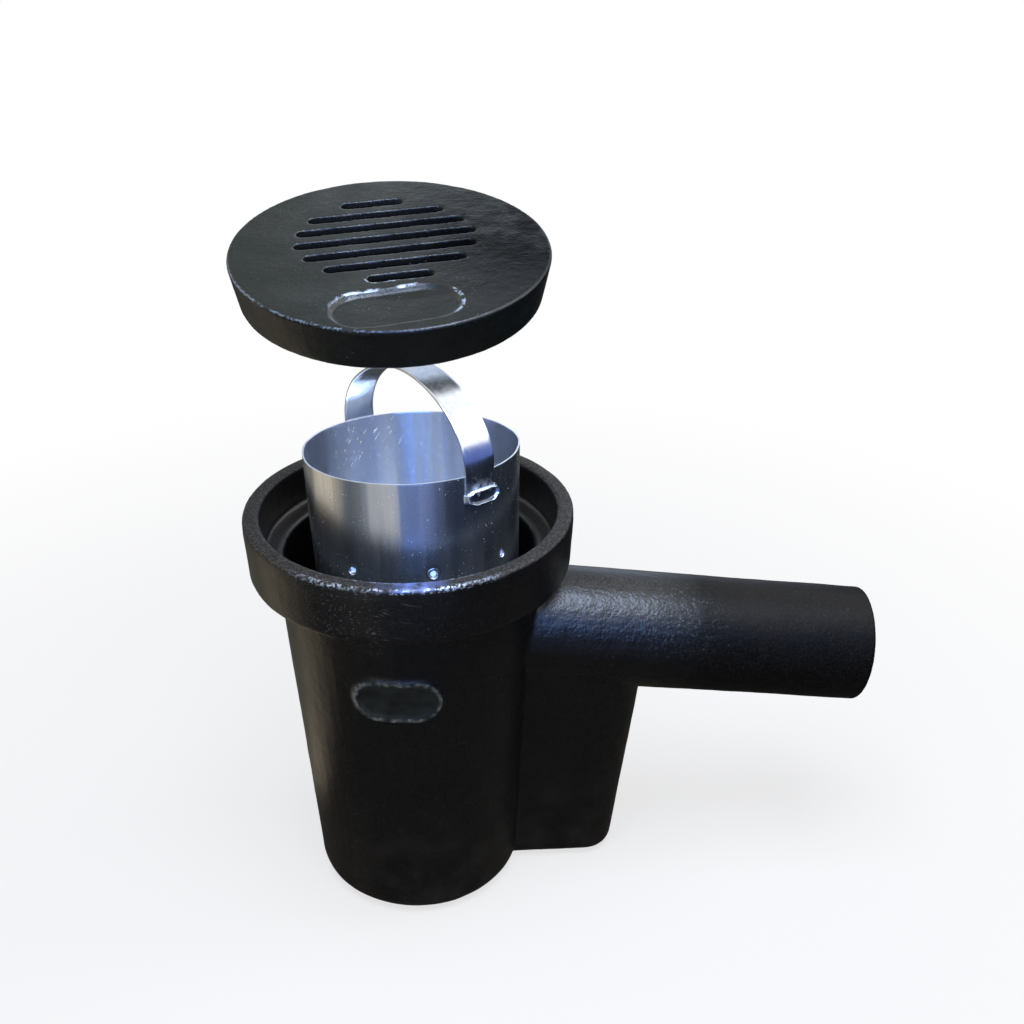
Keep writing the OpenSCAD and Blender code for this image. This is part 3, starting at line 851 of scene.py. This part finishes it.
# %% Bucket: rolled steel
GRAIN_LONG, GRAIN_THIN, GRAIN_HIGH = 14 * MM, 0.5 * MM, 0.03 * MM
tree, shader, where, wall_steel = sheet_steel("cold_rolled_sheet_steel", tint=("#edf1f8", "#dce5f3"),
                                              rough=(0.2, 0.265), Anisotropic=0.75,
                                              Anisotropic_Rotation=0.25)
level = add_node(tree, "Mapping", {"Rotation": LEAN, "Scale": (GRAIN_LONG, GRAIN_LONG, GRAIN_THIN)},
                 {"Vector": where}, vector_type="TEXTURE")
grain = add_node(tree, "TexNoise", {"Scale": 1, "Detail": 2}, {"Vector": level.outputs[0]})
fine = add_node(tree, "Bump", {"Strength": 1, "Distance": GRAIN_HIGH}, {"Height": grain.outputs["Fac"]})
tree.links.new(fine.outputs["Normal"], shader.inputs["Normal"])
print("wall wears", wall_steel.name)

# %% [markdown]
# Years of silt left their marks: bright scrapes from a trowel on the back of the inside, a dull film
# low on the outside, and pale specks of lime all over. A darker patch on the right front of the outside
# is painted shade. The inside and the outside of the sheet share one material, and the direction of the
# normal tells them apart.

# %% Bucket: scrapes, film, painted shade and specks
normal = add_node(tree, "TexCoord").outputs["Normal"]
facing = add_node(tree, "SeparateXYZ", None, {0: normal}).outputs["Y"]
facing_front = add_node(tree, "Math", {1: 0}, {0: facing}, operation="LESS_THAN").outputs[0]
from_centre = add_node(tree, "VectorMath", {1: RIM_CENTRE}, {0: where}, operation="SUBTRACT").outputs[0]
outwards = add_node(tree, "VectorMath", None, {0: from_centre, 1: normal},
                    operation="DOT_PRODUCT").outputs["Value"]
outside = add_node(tree, "Math", {1: 0}, {0: outwards}, operation="GREATER_THAN").outputs[0]
scraped = every(tree, scratches(tree, where, (0, -50, 10), 24, 2.2, 0.67, 0.71), facing_front,
                near(tree, where, (-38, 84, 440), 18, 44))
lay_over(tree, shader, scraped, Base_Color=paint("#ffffff"), Roughness=0.7)
upright = upright_of(tree, where)
film = every(tree, past(tree, where, UP, 428, 380), outside, spots(tree, upright, 12, 0.25, 0.65, 3))
lay_over(tree, shader, film, Base_Color=paint("#aabccd"), Metallic=0.86)
# A darker patch on the right front of the outside wall: painted shade.
painted_shade_right = every(tree, outside, near(tree, where, (66, -70, 412), 36, 88),
              spots(tree, upright, 16, 0.15, 0.5, 3))
lay_over(tree, shader, painted_shade_right, Base_Color=paint("#abb6c4"))
specks = every(tree, spots(tree, where, 1.8, 0.73, 0.76, 1), spots(tree, where, 30, 0.48, 0.62))
lay_over(tree, shader, specks, Base_Color=paint("#f4f6fa"), Roughness=0.65)
print("film below", 428, "mm, full at", 380, "mm")

# %% [markdown]
# The strap is the same steel without the level grain, so it mirrors evenly and bright. The heat of the
# arc left a pale, matt halo on both feet. The base is a disc of the wall's sheet and wears the same
# steel.

# %% Strap and base
tree, shader, where, strap_steel = sheet_steel("bent_strap_steel", tint=("#e4e9f0", "#d3dae6"),
                                               rough=(0.16, 0.26))
for turn in (STRAP_TURN, BACK_TURN):
    foot = Vector((BUCKET_R * math.cos(turn), BUCKET_R * math.sin(turn), -STRAP_FOOT))
    halo = every(tree, near(tree, where, BUCKET_PLACE @ foot / MM, 9, 26),
                 spots(tree, where, 6, 0.42, 0.62, 3))
    lay_over(tree, shader, halo, Base_Color=paint("#ffffff"), Roughness=0.5)
dress(strap, strap_steel)
dress(frame["nodes"]["bucket_base"], wall_steel)
print("strap wears", strap_steel.name, "and the base", wall_steel.name)

# %% [markdown]
# The bead of a stick weld is bright and bluish, and its slag pool is burnt grey and duller. The shears
# left the top edge of the wall with a fine, matt tear that shows as a pale line all round.

# %% Welds and top edge
bead_steel = sheet_steel("stick_welded_steel", tint=("#dbe8f8", "#c4d4ea"), rough=(0.18, 0.26))[-1]
pool_steel = sheet_steel("burnt_weld_pool", tint=("#777b85", "#53545c"), rough=(0.3, 0.45))[-1]
edge_steel = sheet_steel("sheared_sheet_edge", tint=("#f2f5fa", "#d8e0ea"), rough=(0.45, 0.6))[-1]
dress(wall, wall_steel, edge_steel)
dress(weld_front, bead_steel, pool_steel)
dress(weld_back, bead_steel, pool_steel)
print("steel materials:", bead_steel.name, pool_steel.name, edge_steel.name)

# %% [markdown]
# The trap stands on a plain pale floor under soft studio light. The floor's matt white takes the
# shadow, and a little light of its own, in the camera's view and in reflections, brings it up to paper
# white. That light fades in away from the trap, so the shadow stays near it.

# %% Floor
WHITE_FROM, WHITE_AT, WHITE_LEAST = 0.35, 1.3, 0.72
select_nothing()
bpy.ops.mesh.primitive_circle_add(vertices=96, radius=14, fill_type="NGON", location=(0, 0, 0))
floor = bpy.context.active_object
floor.name = "floor"
matt_white = bpy.data.materials.new("matt_white_floor")
matt_white.use_nodes = True
floor.data.materials.append(matt_white)
floor_tree = matt_white.node_tree
floor_tree.nodes.clear()


def seen_directly(tree):
    """1 for rays that show the background: from the camera, off metal and through glass."""
    path = add_node(tree, "LightPath")
    seen = path.outputs["Is Camera Ray"]
    for ray in ("Is Glossy Ray", "Is Transmission Ray"):
        seen = add_node(tree, "Math", None, {0: seen, 1: path.outputs[ray]}, operation="MAXIMUM").outputs[0]
    return seen


matt = add_node(floor_tree, "BsdfDiffuse", {"Color": paint("#f4f4f4")})
glow = add_node(floor_tree, "Emission", {"Color": paint("#ffffff"), "Strength": 1.0})
away = add_node(floor_tree, "VectorMath", None, {0: add_node(floor_tree, "TexCoord").outputs["Object"]},
                operation="LENGTH")
lift = add_node(floor_tree, "MapRange",
                {"From Min": WHITE_FROM, "From Max": WHITE_AT, "To Min": WHITE_LEAST, "To Max": 1.0},
                {"Value": away.outputs["Value"]}, interpolation_type="SMOOTHSTEP")
share = every(floor_tree, seen_directly(floor_tree), lift.outputs[0])
mixed = add_node(floor_tree, "MixShader", None, {0: share, 1: matt.outputs[0], 2: glow.outputs[0]})
add_node(floor_tree, "OutputMaterial", None, {"Surface": mixed.outputs[0]})
print("floor white from", WHITE_AT, "m on")

# %% [markdown]
# The world gives a weak, even sky light. Rays that show the background see plain white in its place.

# %% World
world = bpy.data.worlds.new("studio")
bpy.context.scene.world = world
world.use_nodes = True
sky = world.node_tree
sky.nodes.clear()
soft = add_node(sky, "Background", {"Color": paint("#e8eefc"), "Strength": 0.2})
white = add_node(sky, "Background", {"Color": paint("#ffffff"), "Strength": 1.0})
blend = add_node(sky, "MixShader", None, {0: seen_directly(sky), 1: soft.outputs[0], 2: white.outputs[0]})
add_node(sky, "OutputWorld", None, {"Surface": blend.outputs[0]})
print("world", world.name)

# %% [markdown]
# One large soft box hangs over the trap and lights its colours evenly. It stays out of the reflections,
# where the cards of the next step take its place. A small one on the right lights the strap.

# %% Lamps
def soft_box(name, place, aim, size, watts, colour):
    lamp = bpy.data.lights.new(name, "AREA")
    lamp.shape = "RECTANGLE"
    lamp.size, lamp.size_y = size
    lamp.energy = watts
    lamp.color = paint(colour)[:3]
    box = bpy.data.objects.new(name, lamp)
    bpy.context.scene.collection.objects.link(box)
    box.location = place
    box.rotation_euler = (Vector(aim) - Vector(place)).to_track_quat("-Z", "Y").to_euler()
    box.visible_camera = False
    print(name, "radiance about", round(watts / (math.pi * size[0] * size[1]), 1))
    return box


overhead_box = soft_box("overhead_box", (0.05, -0.5, 2.1), (0.1, 0, 0.3), (1.15, 1.2), 36, "#eef2ff")
overhead_box.visible_glossy = False
soft_box("right_box", (1.9, 0.1, 1.9), (0.05, 0, 0.45), (0.9, 0.9), 9, "#ffffff")

# %% [markdown]
# A black, glossy casting and a bare steel bucket show their form only by what they mirror. Studios
# therefore stand dark and light cards around shiny metal, just out of view, so that it mirrors
# something with edges. These cards do the same: they show in reflections only, and neither light the
# trap nor shade it. A flag is a flat card, and a strip covers the directions between two azimuths, out
# over the floor and then up a wall.

# %% Cards for the reflections
STRIP_FROM = 0.62


def as_card(panel, colour, strength):
    surface = bpy.data.materials.new(panel.name)
    surface.use_nodes = True
    tree = surface.node_tree
    tree.nodes.clear()
    light = add_node(tree, "Emission", {"Color": paint(colour), "Strength": strength})
    add_node(tree, "OutputMaterial", None, {"Surface": light.outputs[0]})
    panel.data.materials.append(surface)
    panel.visible_camera = panel.visible_diffuse = panel.visible_transmission = False
    panel.visible_volume_scatter = panel.visible_shadow = False


def flag(name, place, size, lean, colour, strength=1.0):
    """A flat card that stands or lies at a place, leaning by so many degrees."""
    select_nothing()
    bpy.ops.mesh.primitive_plane_add(size=1, location=place, rotation=(math.radians(lean), 0, 0))
    panel = bpy.context.active_object
    panel.name = name
    panel.scale = (size[0], size[1], 1)
    as_card(panel, colour, strength)


def strip(name, first, last, colour, strength=1.0, near_r=STRIP_FROM, far_r=1.5, low=2 * MM,
          high=0.8):
    """A card between two azimuths in degrees, level from near_r to far_r and then upright to high."""
    select_nothing()
    bpy.ops.mesh.primitive_grid_add(x_subdivisions=2, y_subdivisions=8, size=1)
    panel = bpy.context.active_object
    panel.name = name
    for vertex in panel.data.vertices:
        turn = math.radians(first + (last - first) * (vertex.co.y + 0.5))
        reach = near_r if vertex.co.x < -0.25 else far_r
        up = high if vertex.co.x > 0.25 else low
        vertex.co = Vector((reach * math.cos(turn), reach * math.sin(turn), up))
    as_card(panel, colour, strength)


# %% [markdown]
# A dark mat keeps the floor's white out of the lower reflections. Blue flags in front give the inside
# of the bucket and the rim their cold sheen, pale and dark flags behind break up the strap, and a
# bright flag over the right draws the highlight on the pipe.

# %% Flags
CARD_DOWN = 96
flag("dark_mat", (0, 0, 1 * MM), (3.6, 3.6), 0, "#484642")
flag("front_sky_flag", (-0.08, -1.9, 1.95), (1.2, 2.1), CARD_DOWN, "#86b2ff", 6.7)
flag("front_fringe_flag", (0.71, -1.9, 2.0), (0.38, 0.9), CARD_DOWN, "#5f95fa", 4.5)
flag("back_left_flag", (-0.8, 1.9, 1.65), (1.1, 3.3), 90, "#98a2a1")
flag("back_middle_flag", (-0.1, 1.9, 1.65), (0.3, 3.3), 90, "#dde4e8")
flag("back_high_flag", (0.85, 1.9, 2.65), (1.6, 1.3), 90, "#242827")
flag("back_low_flag", (0.85, 1.9, 1.0), (1.6, 2.0), 90, "#d3e0f4")
flag("top_light_flag", (0.47, -0.5, 2.0), (0.4, 1.2), 0, "#cfe0ff", 24)

# %% [markdown]
# The bucket's wall mirrors the room as a row of upright bands, so the strips go round the trap like the
# staves of a barrel. Each band has its azimuths, its colour and the distance where it starts. The cover
# hangs only centimetres above the strap, and its black underside would drown the strap's bright mirror,
# so it is left out of the reflections.

# %% Strips
BANDS = (("left_back", -235, -205, "#75736b", 0.14),
         ("warm", -205, -178, "#cbbda6", 0.2),
         ("umber", -178, -165, "#a39a8c", 0.3),
         ("grey", -165, -142, "#606265", STRIP_FROM),
         ("pale", -142, -130, "#7f8288", STRIP_FROM),
         ("bright", -130, -108, "#b4b2af", STRIP_FROM),
         ("blue", -108, -87, "#636f90", STRIP_FROM),
         ("violet", -87, -72, "#6d7599", STRIP_FROM),
         ("haze", -72, -57, "#4b5369", STRIP_FROM),
         ("slate", -57, -40, "#1a2029", STRIP_FROM),
         ("dark_right", -40, 55, "#1b2128", STRIP_FROM))
for name, first, last, colour, near_r in BANDS:
    strip(name + "_strip", first, last, colour, near_r=near_r)
strip("blue_band_strip", -75, 0, "#5c70b8", near_r=1.44, far_r=1.45, low=0.5, high=1.1)
strip("white_wall_strip", -40, 60, "#ffffff", 1.7, near_r=1.9, far_r=1.91, low=1.15, high=3.2)
cover.visible_glossy = False
